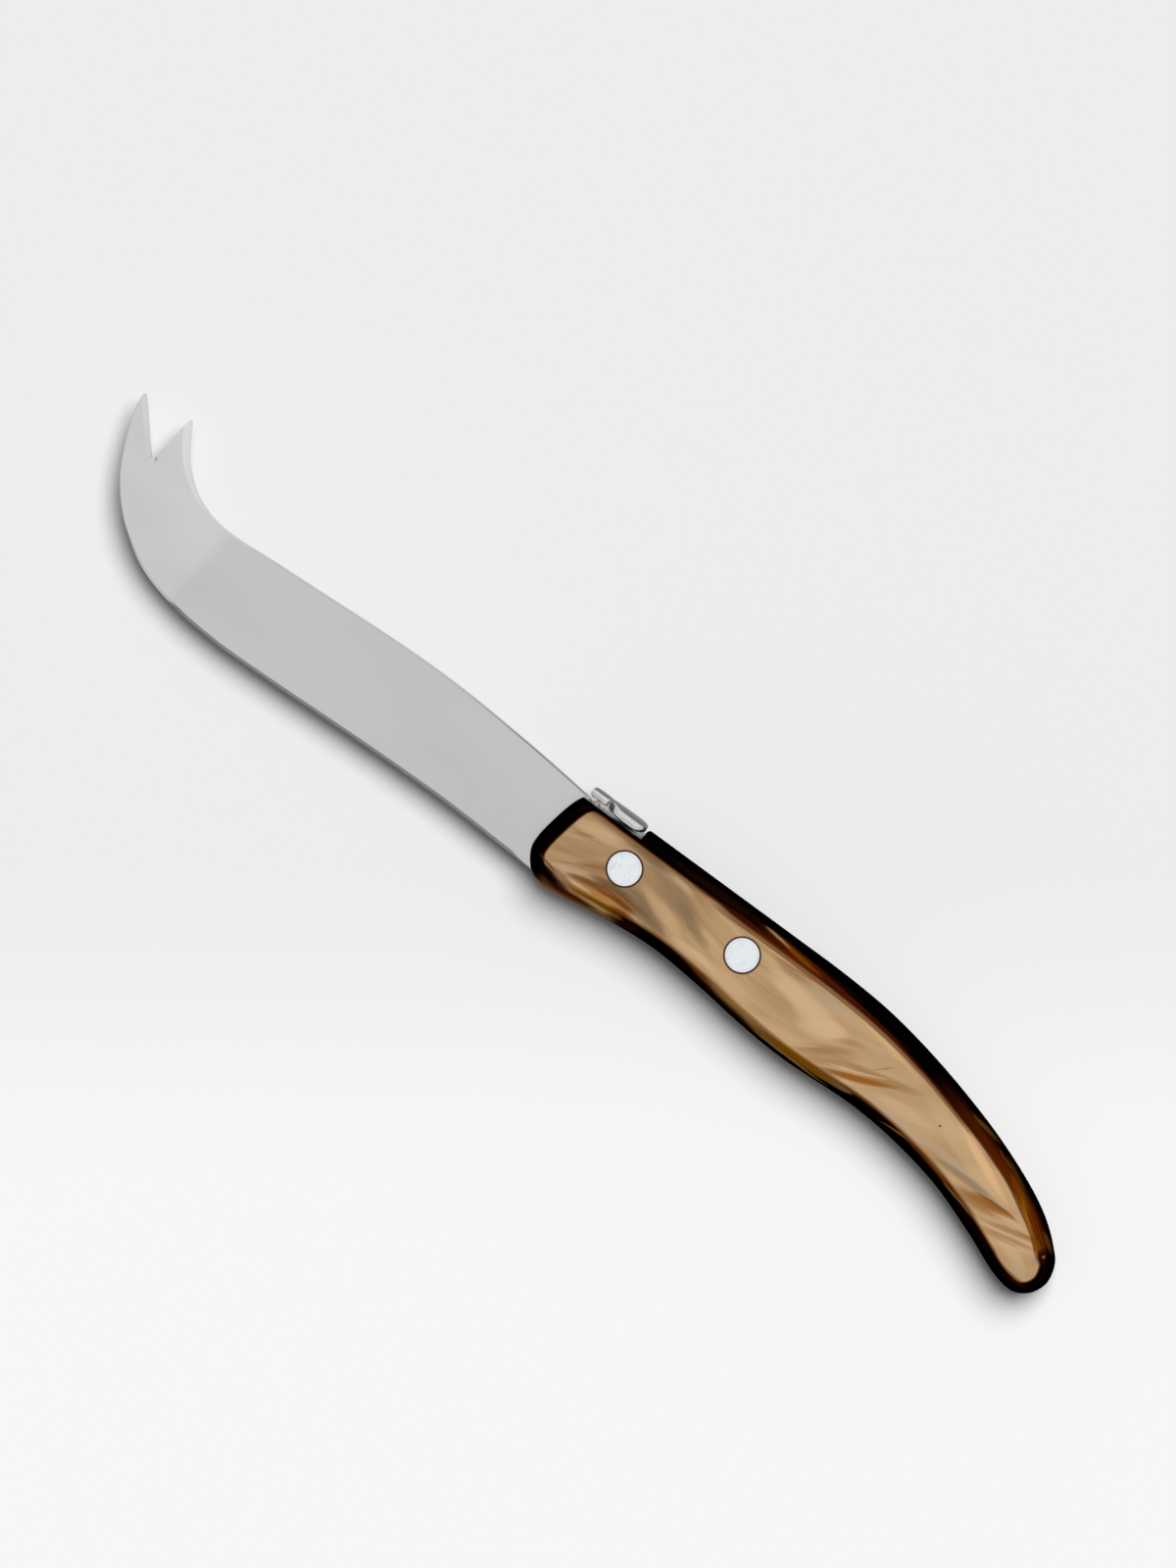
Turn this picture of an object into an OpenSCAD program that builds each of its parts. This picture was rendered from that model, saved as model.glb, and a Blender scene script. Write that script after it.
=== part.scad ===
// Cheese knife: a hooked, forked blade with a hidden tang, a one-piece handle, two cutler's rivets
// and a small ornament on the spine.
// The knife lies on its side: +X runs to the butt of the handle, +Y to the spine and +Z up.
// The origin is midway between the two rivets, on the side face that the knife lies on.

/* [Handle] */
// Length of the handle along X
handle_l = 120.6; // [112:0.1:130]
// Depth that the handle's outline follows, from belly to spine
handle_h = 19.2; // [18.4:0.1:21]
// Thickness of the handle between its two side faces
handle_t = 11; // [9.5:0.1:12.5]
// Width of the rounded edge round each side face
handle_edge_w = 2.75; // [2.2:0.05:3]
// Width of the softened crease where the rounded edge meets the side face
crease_w = 0.4; // [0.2:0.05:0.5]
// Drop of the softened crease below the side face
crease_drop = 0.08; // [0.04:0.01:0.15]

/* [Blade] */
// Length of the blade from the handle's front to the outside of the hook
blade_l = 103.4; // [95:0.1:112]
// Height that the blade's outline follows, from its edge to its spine
blade_h = 18.8; // [17.6:0.1:20]
// Thickness of the blade at the handle
blade_t = 2; // [1.6:0.1:2.4]
// Thickness of the hook and its tines
hook_t = 1.5; // [1.2:0.1:1.8]
// Thickness behind the cutting edge, before it is sharpened
ground_t = 0.56; // [0.4:0.02:0.8]
// Thickness left at the sharpened edge
edge_t = 0.1; // [0.06:0.02:0.16]
// Width of the sharpened bevel along the cutting edge
edge_bevel_w = 0.55; // [0.4:0.05:0.8]
// Width of the small chamfer along the spine
spine_chamfer = 0.2; // [0.1:0.05:0.3]
// Width of the bevel on the concave edge of the inner tine
inner_bevel_w = 1.65; // [1.2:0.05:2]
// Width of the bevel on the outer tine, inside the fork
outer_bevel_w = 0.95; // [0.5:0.05:1.1]
// Radius at the root of the fork
fork_root_r = 0.35; // [0.2:0.05:0.5]
// Radius of the outer tine's blunt tip
outer_tip_r = 0.5; // [0.3:0.05:0.6]
// Radius of the inner tine's tip
inner_tip_r = 0.35; // [0.2:0.05:0.45]

/* [Tang] */
// Thickness of the tang
tang_t = 1.8; // [1.4:0.1:2]
// Length of the tang behind the blade's heel
tang_l = 46.5; // [42:0.5:52]
// Depth of the tang below the rivet line at its front
tang_drop = 5.5; // [4.5:0.1:6.5]
// Height of the tang behind the notch, above the rivet line
tang_neck_y = 4.2; // [3.8:0.1:4.6]
// Height of the tang at its rounded rear end
tang_end_h = 7.4; // [6.6:0.1:8]
// How far the blade's heel reaches into the handle
heel_in = 3; // [2.6:0.1:4]

/* [Rivets] */
// Distance between the two rivets
rivet_pitch = 26; // [23:0.5:29]
// Distance from the handle's front to the front rivet
rivet_inset = 16; // [15:0.5:18]
// Diameter of the rivet heads
rivet_head_d = 6.5; // [6:0.1:7]
// Thickness of the rivet heads
rivet_head_t = 1.3; // [1:0.1:1.6]
// Outside diameter of the hollow rivet shank
rivet_shank_d = 4.6; // [4.2:0.1:5]
// Diameter of the bore that takes the pin of the other rivet half
rivet_bore_d = 3; // [2.4:0.1:3.2]
// Chamfer round the rim of the rivet heads
rivet_rim = 0.2; // [0.1:0.05:0.3]

/* [Ornament] */
// Length of the ornament along the spine
ornament_l = 11.9; // [11.2:0.1:12.4]
// Width of the ornament over its rear lobe
ornament_w = 4.6; // [4:0.1:5.4]
// Height of the ornament from the underside of its front lobe to its crown
ornament_t = 1.8; // [1.5:0.05:2.1]
// Drop of the crown from the middle of the rear lobe to its sides
ornament_crown = 0.5; // [0.3:0.05:0.6]
// Height of the notch floor above the rivet line
notch_y = 5.5; // [5.2:0.1:5.8]
// Height of the tang's ledge above the notch floor
ledge_h = 0.6; // [0.5:0.05:0.8]
// Height of the foot between the ledge and the ornament's front lobe
foot_h = 0.54; // [0.5:0.02:0.7]

/* [Fits] */
// Gap round the blade and the tang in the handle
fit_gap = 0.1; // [0.05:0.01:0.15]
// Gap round the rivets in the handle
rivet_gap = 0.05; // [0.03:0.01:0.08]
// Gap round the rivets in the tang
tang_hole_gap = 0.12; // [0.08:0.01:0.2]
// Gap between the pin and the bore of the two rivet halves
pin_gap = 0.02; // [0.01:0.01:0.03]
// Gap between the blade's heel and the ornament
heel_gap = 0.12; // [0.08:0.01:0.2]
// Gap between the ornament and the rear wall of the notch
notch_gap = 0.35; // [0.25:0.05:0.5]

/* [Hidden] */

acrylic = [0.70, 0.54, 0.36];
steel = [0.76, 0.76, 0.75];
rivet_metal = [0.88, 0.90, 0.91];

// Overrun of every cut past the surface that it opens
overrun = 1;

// Places along X and the middle of the thickness
front_x = -rivet_pitch / 2 - rivet_inset;
heel_x = front_x + heel_in;
ornament_x = heel_x + heel_gap;
notch_end_x = ornament_x + ornament_l + notch_gap;
mid_z = handle_t / 2;
rivet_xs = [-rivet_pitch / 2, rivet_pitch / 2];
seat_y = notch_y + ledge_h;
ornament_y = seat_y + foot_h;

// Outline of the handle, as shares of its length from the front and of its depth from the rivet line.
// The spine list and the belly list run from front to butt, with as many points each.
handle_front_share = [0.0052, -0.020];
handle_butt_share = [1, -0.8165];
handle_spine_shares = [
    [0.0148, 0.220], [0.0236, 0.3146], [0.0371, 0.376], [0.0524, 0.3985], [0.100, 0.3985],
    [0.170, 0.3985], [0.240, 0.3985], [0.320, 0.3985], [0.410, 0.3985], [0.489, 0.395],
    [0.572, 0.3635], [0.655, 0.282], [0.738, 0.1616], [0.821, 0.007], [0.904, -0.2026],
    [0.9453, -0.3495], [0.975, -0.5015], [0.9925, -0.626]];
handle_belly_shares = [
    [0, -0.272], [0.0032, -0.398], [0.0228, -0.5570], [0.0456, -0.599], [0.0746, -0.5885],
    [0.1194, -0.5439], [0.1775, -0.495], [0.2405, -0.4705], [0.3237, -0.505], [0.4063, -0.562],
    [0.489, -0.5885], [0.6136, -0.554], [0.6965, -0.5963], [0.7795, -0.696], [0.862, -0.874],
    [0.9345, -1.053], [0.9677, -1.068], [0.990, -0.975]];
handle_span_steps = 5;
// Where the curve of the rounded edge stops, as an angle, and the steps that draw it from the middle
edge_turn = 58;
edge_steps = 6;

// Notch at the front of the spine
notch_round = 1.1;
notch_fillet = 0.3;
notch_arc_steps = 6;

// Edges of the blade, as shares of its length from the handle's front and of its height from the
// rivet line. The first pair lies at the heel, and each spine point faces the belly point of the
// same place in the list, across the blade.
heel_share = [0.328, -0.567];
blade_spine_shares = [
    [0.0677, 0.379], [0.1547, 0.4138], [0.2418, 0.4404], [0.3190, 0.446], [0.4159, 0.430],
    [0.5319, 0.3926], [0.6480, 0.355], [0.7157, 0.329], [0.7592, 0.335], [0.7930, 0.379],
    [0.8220, 0.4513], [0.8462, 0.553], [0.8607, 0.6263], [0.8801, 0.7699], [0.8994, 0.952],
    [0.9062, 1.018]];
blade_belly_shares = [
    [0.0677, -0.547], [0.1547, -0.533], [0.2418, -0.537], [0.3288, -0.5495], [0.4159, -0.568],
    [0.5319, -0.594], [0.6480, -0.6053], [0.7450, -0.558], [0.8220, -0.445], [0.8801, -0.2548],
    [0.9187, -0.067], [0.9478, 0.136], [0.9671, 0.3314], [0.9830, 0.540], [0.9955, 0.757],
    [1, 0.950]];
blade_span_steps = 8;
// Where along the blade the flat grind ends and the thicker hook starts, as shares of its length
hook_shares = [0.722, 0.768];
// Where the sharpened bevel sets in and fades out, and where the inner tine's bevel widens
sharp_start_shares = [0, 0.02];
sharp_end_shares = [0.78, 0.90];
inner_bevel_shares = [0.745, 0.925];
// Thickness left at the edges of the tines, as a share of the hook's thickness
tine_edge_share = 0.36;

// Corners of the fork, as shares of the blade's length and height
outer_tip_share = [0.9945, 0.932];
inner_tip_share = [0.9074, 0.976];
fork_root_share = [0.9190, 0.4368];
fork_arc_steps = 5;
// Length over which the outer tine's bevel fades in at the root, as a share of its width
run_out_share = 3.2;
run_out_steps = 5;

// Rounded rear end of the tang, the lap of the tang and the blade, and the ramp that stops the ornament
tang_round = 2.4;
tang_arc_steps = 6;
tang_lap = 0.5;
stop_l = 1.7;
stop_h = 0.6;

// Stations of the ornament from front to rear: place as a share of its length, half width as a share
// of the rear lobe's, and the heights of its crown and its underside as shares of its height
ornament_shares = [
    [0.000, 0.36, 0.62, 0.26], [0.012, 0.48, 0.80, 0.12], [0.040, 0.57, 0.93, 0.03],
    [0.085, 0.62, 0.98, 0.00], [0.260, 0.63, 0.99, 0.00], [0.295, 0.55, 0.97, 0.00],
    [0.315, 0.44, 0.95, 0.00], [0.375, 0.42, 0.95, -0.02], [0.400, 0.50, 0.96, -0.08],
    [0.440, 0.70, 0.97, -0.16], [0.500, 0.87, 0.985, -0.22], [0.580, 0.97, 1.00, -0.27],
    [0.680, 1.00, 1.00, -0.30], [0.810, 1.00, 1.00, -0.29], [0.890, 0.95, 0.98, -0.15],
    [0.950, 0.80, 0.92, -0.02], [0.985, 0.60, 0.82, 0.12], [1.000, 0.42, 0.72, 0.24]];
ornament_steps = 2;
// Roundings and crown of the ornament's section, as shares of its half width
ornament_foot_share = 0.10;
ornament_edge_share = 0.14;
ornament_crown_shares = [0.60, 0.25];

// Curves

// Point at share s of the way from b to c, on a smooth curve through a, b, c and d
function knot(p, q) = sqrt(norm(q - p));
function mix(p, q, tp, tq, t) = ((tq - t) * p + (t - tp) * q) / (tq - tp);
function curve_point(a, b, c, d, s) =
    let (tb = knot(a, b), tc = tb + knot(b, c), td = tc + knot(c, d), t = tb + (tc - tb) * s)
    let (ab = mix(a, b, 0, tb, t), bc = mix(b, c, tb, tc, t), cd = mix(c, d, tc, td, t))
    mix(mix(ab, bc, 0, tc, t), mix(bc, cd, tb, td, t), tb, tc, t);

function closed_curve(pts, steps) =
    let (n = len(pts))
    [for (i = [0 : n - 1]) for (k = [0 : steps - 1])
        curve_point(pts[(i + n - 1) % n], pts[i], pts[(i + 1) % n], pts[(i + 2) % n], k / steps)];

function open_curve(pts, steps) =
    let (n = len(pts), before = 2 * pts[0] - pts[1], after = 2 * pts[n - 1] - pts[n - 2])
    let (all = concat([before], pts, [after]))
    [for (i = [1 : n - 1]) for (k = [0 : i == n - 1 ? steps : steps - 1])
        curve_point(all[i - 1], all[i], all[i + 1], all[i + 2], k / steps)];

function arc(centre, r, from, to, steps) =
    [for (k = [0 : steps]) let (a = lerp(from, to, k / steps)) centre + r * [cos(a), sin(a)]];

// Unit vector square to the run from p to q, a quarter turn to its left
function left_of(p, q) = let (d = q - p) [-d[1], d[0]] / norm(d);
function heading(p, q) = atan2(q[1] - p[1], q[0] - p[0]);
function along(angle, r) = r * [cos(angle), sin(angle)];
function reverse(list) = [for (i = [len(list) - 1 : -1 : 0]) list[i]];
function lerp(p, q, t) = p + (q - p) * t;
// Smooth step from 0 at the first of two values to 1 at the second
function ease(span, x) =
    let (t = min(max((x - span[0]) / (span[1] - span[0]), 0), 1)) t * t * (3 - 2 * t);

// Faces of a stack of rings of n points, which run clockwise seen from the stack's end, and the
// quads that close a ring whose points face each other across it, from its first point or edge
function ring_bands(rings, n) =
    [for (r = [0 : rings - 2]) for (i = [0 : n - 1])
        [r * n + i, r * n + (i + 1) % n, (r + 1) * n + (i + 1) % n, (r + 1) * n + i]];
function point_cap(base, n) =
    [for (i = [0 : n / 2 - 1])
        i == 0 ? [base, base + 1, base + n - 1]
        : i == n / 2 - 1 ? [base + i, base + i + 1, base + n - i]
        : [base + i, base + i + 1, base + n - i - 1, base + n - i]];
function edge_cap(base, n) =
    [for (k = [0 : n / 2 - 2]) [base + k, base + k + 1, base + n - 2 - k, base + n - 1 - k]];
function flipped(faces) = [for (f = faces) reverse(f)];

// Handle

function handle_point(share) = [front_x + share[0] * handle_l, share[1] * handle_h];
handle_outline = closed_curve(
    concat(
        [handle_point(handle_front_share)],
        [for (s = handle_spine_shares) handle_point(s)],
        [handle_point(handle_butt_share)],
        [for (s = reverse(handle_belly_shares)) handle_point(s)]),
    handle_span_steps);
handle_count = len(handle_outline);

// The outline moved inwards from the edge all round, at one height
function inward(i) =
    let (n = handle_count)
    -left_of(handle_outline[(i + n - 1) % n], handle_outline[(i + 1) % n]);
function handle_ring(inset, z) =
    [for (i = [0 : handle_count - 1]) let (p = handle_outline[i] + inset * inward(i)) [p[0], p[1], z]];

// The rounded edge from the lower crease to the upper one, between the two side faces
function edge_inset(turn) = handle_edge_w * (1 - cos(turn)) / (1 - cos(edge_turn));
function edge_rise(turn) = (mid_z - crease_drop) * sin(turn) / sin(edge_turn);
handle_rings = concat(
    [handle_ring(handle_edge_w + crease_w, 0)],
    [for (k = [-edge_steps : edge_steps]) let (turn = edge_turn * k / edge_steps)
        handle_ring(edge_inset(turn), mid_z + edge_rise(turn))],
    [handle_ring(handle_edge_w + crease_w, handle_t)]);

module handle_body() {
    last = (len(handle_rings) - 1) * handle_count;
    polyhedron(
        points = [for (ring = handle_rings) for (p = ring) p],
        faces = concat(
            ring_bands(len(handle_rings), handle_count),
            flipped(point_cap(0, handle_count)),
            point_cap(last, handle_count)));
}

// The notch is open to the front, so that the ornament slides in with the tang
spine_y = handle_point(handle_spine_shares[4])[1];
notch_outline = concat(
    arc([notch_end_x - notch_fillet, notch_y + notch_fillet], notch_fillet, -90, 0, notch_arc_steps),
    arc([notch_end_x + notch_round, spine_y - notch_round], notch_round, 180, 90, notch_arc_steps),
    [[notch_end_x + notch_round, spine_y + handle_h],
     [front_x - handle_h, spine_y + handle_h],
     [front_x - handle_h, notch_y]]);

module notch() {
    translate([0, 0, -overrun])
        linear_extrude(handle_t + 2 * overrun)
            polygon(notch_outline);
}

// A slot sawn into the front for the blade's heel, and a deeper one for the tang
module slots() {
    heel_w = blade_t + 2 * fit_gap;
    tang_w = tang_t + 2 * fit_gap;
    translate([front_x - overrun, -handle_h, mid_z - heel_w / 2])
        cube([heel_in + fit_gap + overrun, 2 * handle_h, heel_w]);
    translate([0, 0, mid_z - tang_w / 2])
        linear_extrude(tang_w)
            polygon(tang_outline(fit_gap));
}

module rivet_hole() {
    head_d = rivet_head_d + 2 * rivet_gap;
    translate([0, 0, -overrun])
        cylinder(d = rivet_shank_d + 2 * rivet_gap, h = handle_t + 2 * overrun, $fn = 48);
    translate([0, 0, -overrun])
        cylinder(d = head_d, h = overrun + rivet_head_t, $fn = 64);
    translate([0, 0, handle_t - rivet_head_t])
        cylinder(d = head_d, h = overrun + rivet_head_t, $fn = 64);
}

module handle() {
    color(acrylic)
        difference() {
            handle_body();
            notch();
            slots();
            for (x = rivet_xs)
                translate([x, 0, 0]) rivet_hole();
        }
}

// Blade

function blade_point(share) = [front_x - share[0] * blade_l, share[1] * blade_h];
function blade_edge(side, shares) =
    open_curve(
        concat([[heel_x, heel_share[side] * blade_h]], [for (s = shares) blade_point(s)]),
        blade_span_steps);
blade_spine = blade_edge(0, blade_spine_shares);
blade_belly = blade_edge(1, blade_belly_shares);
blade_count = len(blade_spine);

// How far along the blade a point lies, as a share of its length
function reach(p) = (front_x - p[0]) / blade_l;
function spine_t(i) = lerp(blade_t, hook_t, ease([0, hook_shares[1]], reach(blade_spine[i])));
function belly_t(i) = lerp(ground_t, spine_t(i), ease(hook_shares, reach(blade_belly[i])));

// Bevel widths, and the thickness left at the very edge, on the spine side and on the belly side
function tine(i) = ease(inner_bevel_shares, reach(blade_spine[i]));
function sharp(i) =
    let (r = reach(blade_belly[i])) ease(sharp_start_shares, r) - ease(sharp_end_shares, r);
function spine_bevel_w(i) = lerp(spine_chamfer, inner_bevel_w, tine(i));
function spine_edge_t(i) = lerp(spine_t(i) - 2 * spine_chamfer, hook_t * tine_edge_share, tine(i));
function belly_bevel_w(i) = lerp(spine_chamfer, edge_bevel_w, sharp(i));
function belly_edge_t(i) = lerp(belly_t(i) - spine_chamfer, edge_t, sharp(i));

// Direction into the blade at a station of its spine or belly
function run(list, i) = left_of(list[max(i - 1, 0)], list[min(i + 1, len(list) - 1)]);

// Eight points of the blade's section at a station, from the spine over one face to the edge and back
function blade_section(i) =
    let (
        s = blade_spine[i],
        b = blade_belly[i],
        si = s + spine_bevel_w(i) * run(blade_spine, i),
        bi = b - belly_bevel_w(i) * run(blade_belly, i),
        outline = [s, si, bi, b],
        thick = [spine_edge_t(i), spine_t(i), belly_t(i), belly_edge_t(i)])
    concat(
        [for (k = [0 : 3]) [outline[k][0], outline[k][1], mid_z + thick[k] / 2]],
        [for (k = [3 : -1 : 0]) [outline[k][0], outline[k][1], mid_z - thick[k] / 2]]);

module blade_body() {
    sections = [for (i = [0 : blade_count - 1]) blade_section(i)];
    n = len(sections[0]);
    polyhedron(
        points = [for (section = sections) for (p = section) p],
        faces = concat(
            ring_bands(blade_count, n),
            flipped(edge_cap(0, n)),
            edge_cap((blade_count - 1) * n, n)));
}

// Fork: a V with a round root between two rounded tips, cut through the end of the hook
outer_tip = blade_point(outer_tip_share);
inner_tip = blade_point(inner_tip_share);
fork_root = blade_point(fork_root_share);
outer_run = heading(fork_root, outer_tip);
inner_run = heading(fork_root, inner_tip);
// Centres of the tip arcs, inside the tines, and of the root arc, inside the V
outer_centre = outer_tip + along(outer_run - 180, outer_tip_r) + along(outer_run + 90, outer_tip_r);
inner_centre = inner_tip + along(inner_run - 180, inner_tip_r) + along(inner_run - 90, inner_tip_r);
root_half = (outer_run - inner_run) / 2;
root_centre = fork_root + along(inner_run + root_half, fork_root_r / sin(root_half));
fork_outline = concat(
    [outer_centre + along(180, blade_h)],
    arc(outer_centre, outer_tip_r, 180, outer_run - 90, fork_arc_steps),
    arc(root_centre, fork_root_r, outer_run + 90, inner_run + 270, fork_arc_steps),
    arc(inner_centre, inner_tip_r, inner_run + 90, inner_run - 60, fork_arc_steps),
    [inner_centre + along(0, blade_h),
     inner_centre + along(45, 2 * blade_h),
     outer_centre + along(135, 2 * blade_h)]);

// Bevel along the outer tine, inside the fork, on one face: it fades in from the root, keeps one
// slope, and goes on past the tip and the edge. Each row is a place along the tine and a width.
outer_bevel_rows = concat(
    [for (k = [0 : run_out_steps])
        let (t = k / run_out_steps)
        [t * run_out_share * outer_bevel_w, outer_bevel_w * ease([0, 1], t)]],
    [[norm(outer_tip - fork_root) + overrun, outer_bevel_w]]);
module outer_bevel(side) {
    fall_share = (1 - tine_edge_share) * hook_t / 2 / outer_bevel_w;
    face = side * hook_t / 2;
    top = face + side * overrun;
    function row_points(row) = [
        [row[0], row[1], face],
        [row[0], -overrun, face - side * fall_share * (row[1] + overrun)],
        [row[0], -overrun, top],
        [row[0], row[1], top]];
    points = [for (row = outer_bevel_rows) each row_points(row)];
    n = len(row_points(outer_bevel_rows[0]));
    faces = concat(
        ring_bands(len(outer_bevel_rows), n),
        flipped(edge_cap(0, n)),
        edge_cap(len(points) - n, n));
    translate([fork_root[0], fork_root[1], mid_z])
        rotate([0, 0, outer_run])
            polyhedron(points = points, faces = side > 0 ? faces : flipped(faces));
}

// Tang: a flat tongue with a ledge for the ornament, grown all round by a gap where it is a slot
tang_end_x = heel_x + tang_l;
function tang_outline(gap) = concat(
    [[heel_x - tang_lap, -tang_drop - gap],
     [heel_x - tang_lap, seat_y + gap],
     [notch_end_x - stop_l, seat_y + gap],
     [notch_end_x - fit_gap + gap, seat_y + stop_h + gap],
     [notch_end_x - fit_gap + gap, tang_neck_y + gap]],
    arc([tang_end_x - tang_round, tang_end_h / 2 - tang_round], tang_round + gap, 90, 0, tang_arc_steps),
    arc([tang_end_x - tang_round, tang_round - tang_end_h / 2], tang_round + gap, 0, -90, tang_arc_steps));

module tang() {
    translate([0, 0, mid_z - tang_t / 2])
        linear_extrude(tang_t)
            polygon(tang_outline(0));
}

module blade() {
    color(steel)
        difference() {
            union() {
                blade_body();
                tang();
            }
            translate([0, 0, mid_z - blade_t])
                linear_extrude(2 * blade_t)
                    polygon(fork_outline);
            outer_bevel(1);
            outer_bevel(-1);
            for (x = rivet_xs)
                translate([x, 0, mid_z - blade_t])
                    cylinder(d = rivet_shank_d + 2 * tang_hole_gap, h = 2 * blade_t, $fn = 48);
        }
}

// Ornament: a small two-lobed plate on the tang's ledge, with a foot under its front lobe

// Half of the section at a station, from its underside round the side to the crown
function ornament_half(row) =
    let (
        w = row[1] * ornament_w / 2,
        crown = ornament_y + row[2] * ornament_t,
        shoulder = crown - row[1] * ornament_crown,
        low = max(ornament_y + row[3] * ornament_t, seat_y),
        foot_r = ornament_foot_share * w,
        edge_r = min(ornament_edge_share * w, (shoulder - low) / 2))
    concat(
        [[w - foot_r, low], [w, low + foot_r]],
        [[w, shoulder - edge_r], [w - edge_r / 3, shoulder - edge_r / 3]],
        [[w - edge_r, shoulder + edge_r / 4]],
        [for (u = ornament_crown_shares) [u * w, lerp(crown, shoulder, u * u)]]);
function ornament_section(row) =
    let (half = ornament_half(row), x = ornament_x + row[0] * ornament_l)
    concat(
        [for (p = half) [x, p[1], mid_z + p[0]]],
        [for (p = reverse(half)) [x, p[1], mid_z - p[0]]]);

module ornament_body() {
    sections = [for (row = open_curve(ornament_shares, ornament_steps)) ornament_section(row)];
    n = len(sections[0]);
    polyhedron(
        points = [for (section = sections) for (p = section) p],
        faces = concat(
            ring_bands(len(sections), n),
            flipped(edge_cap(0, n)),
            edge_cap((len(sections) - 1) * n, n)));
}

module spine_ornament() {
    foot_start_share = ornament_shares[2][0];
    foot_end_share = ornament_shares[12][0];
    color(steel)
        union() {
            ornament_body();
            translate([ornament_x + foot_start_share * ornament_l, seat_y, mid_z - tang_t / 2])
                cube([(foot_end_share - foot_start_share) * ornament_l, foot_h + ornament_t / 2, tang_t]);
        }
}

// Rivets: a cap with a hollow shank takes the pin of a post from the other side

// Heights of the pin's end, of the bore's bottom and of the shank's rim above the lower side face
pin_stop_share = 2;
bore_stop_share = 1.7;
pin_end = pin_stop_share * rivet_head_t;
bore_end = bore_stop_share * rivet_head_t;
shank_end = handle_t - rivet_head_t - 2 * rivet_gap;

// Half of a rivet half's section: its head, and the shank or pin that starts at radius r
function head_profile(r) = [
    [0, 0],
    [rivet_head_d / 2 - rivet_rim, 0],
    [rivet_head_d / 2, rivet_rim],
    [rivet_head_d / 2, rivet_head_t],
    [r, rivet_head_t]];

module rivet_cap() {
    rotate_extrude($fn = 72)
        polygon(concat(head_profile(rivet_shank_d / 2), [
            [rivet_shank_d / 2, shank_end],
            [rivet_bore_d / 2, shank_end],
            [rivet_bore_d / 2, bore_end],
            [0, bore_end]]));
}

module rivet_post() {
    pin_r = rivet_bore_d / 2 - pin_gap;
    translate([0, 0, handle_t])
        mirror([0, 0, 1])
            rotate_extrude($fn = 72)
                polygon(concat(head_profile(pin_r), [
                    [pin_r, handle_t - pin_end],
                    [0, handle_t - pin_end]]));
}

module front_rivet_post() {
    color(rivet_metal) translate([rivet_xs[0], 0, 0]) rivet_post();
}

module front_rivet_cap() {
    color(rivet_metal) translate([rivet_xs[0], 0, 0]) rivet_cap();
}

module rear_rivet_post() {
    color(rivet_metal) translate([rivet_xs[1], 0, 0]) rivet_post();
}

module rear_rivet_cap() {
    color(rivet_metal) translate([rivet_xs[1], 0, 0]) rivet_cap();
}

handle();
blade();
spine_ornament();
front_rivet_post();
front_rivet_cap();
rear_rivet_post();
rear_rivet_cap();
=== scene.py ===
import math
from types import SimpleNamespace

import bpy
from mathutils import Matrix, Vector


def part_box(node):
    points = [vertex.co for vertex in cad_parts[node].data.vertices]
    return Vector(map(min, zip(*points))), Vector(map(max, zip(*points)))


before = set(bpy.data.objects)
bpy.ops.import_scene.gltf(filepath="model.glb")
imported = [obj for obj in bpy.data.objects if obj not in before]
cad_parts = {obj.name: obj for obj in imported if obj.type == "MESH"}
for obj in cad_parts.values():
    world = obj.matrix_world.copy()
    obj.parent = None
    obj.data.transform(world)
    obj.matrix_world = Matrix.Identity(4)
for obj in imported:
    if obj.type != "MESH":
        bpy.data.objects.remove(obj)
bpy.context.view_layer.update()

# Cheese knife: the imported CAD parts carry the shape, and this script gives them their finish,
# smooth shading, the light and the camera. Lengths are in metres, and in mm inside the materials.

MM = 0.001

HANDLE_LOW, HANDLE_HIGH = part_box("handle")
HANDLE_T_MM = (HANDLE_HIGH.z - HANDLE_LOW.z) / MM
MID_Z_MM = HANDLE_T_MM / 2
RIVET_NODES = ("front_rivet_post", "rear_rivet_post")


def centre_mm(node):
    low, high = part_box(node)
    return (low + high) / 2 / MM


def radius_mm(node):
    low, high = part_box(node)
    return (high.x - low.x) / 2 / MM


def srgb(red, green, blue):
    """A display colour, 0 to 255, as Blender's linear colour."""
    def linear(level):
        part = level / 255
        return part / 12.92 if part <= 0.04045 else ((part + 0.055) / 1.055) ** 2.4
    return (linear(red), linear(green), linear(blue), 1.0)


# Camera

CAMERA_TILT = math.radians(6.5)        # the lens leans this far to the spine's side
CAMERA_ROLL = math.radians(36.27)      # the knife lies this far below the picture's level
CAMERA_DISTANCE = 3.0
PICTURE_LENGTH = 0.2797                # what the picture's long side spans at its centre's height
PICTURE_CENTRE = Vector((-0.0272, 0.0079, 0.0065))
SENSOR = 36.0
CLIP = (0.01, 30.0)                    # the nearest and the farthest that the camera sees


def add_camera():
    back = Vector((0, math.sin(CAMERA_TILT), math.cos(CAMERA_TILT)))
    level = Vector((1, 0, 0))
    across = back.cross(level)
    right = level * math.cos(CAMERA_ROLL) + across * math.sin(CAMERA_ROLL)
    up = across * math.cos(CAMERA_ROLL) - level * math.sin(CAMERA_ROLL)
    turn = Matrix((right, up, back)).transposed()
    data = bpy.data.cameras.new("camera")
    data.sensor_width = SENSOR
    data.lens = SENSOR * CAMERA_DISTANCE / PICTURE_LENGTH
    data.clip_start, data.clip_end = CLIP
    camera = bpy.data.objects.new("camera", data)
    camera.matrix_world = Matrix.Translation(PICTURE_CENTRE + back * CAMERA_DISTANCE) @ turn.to_4x4()
    bpy.context.scene.collection.objects.link(camera)
    bpy.context.scene.camera = camera
    return up


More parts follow.
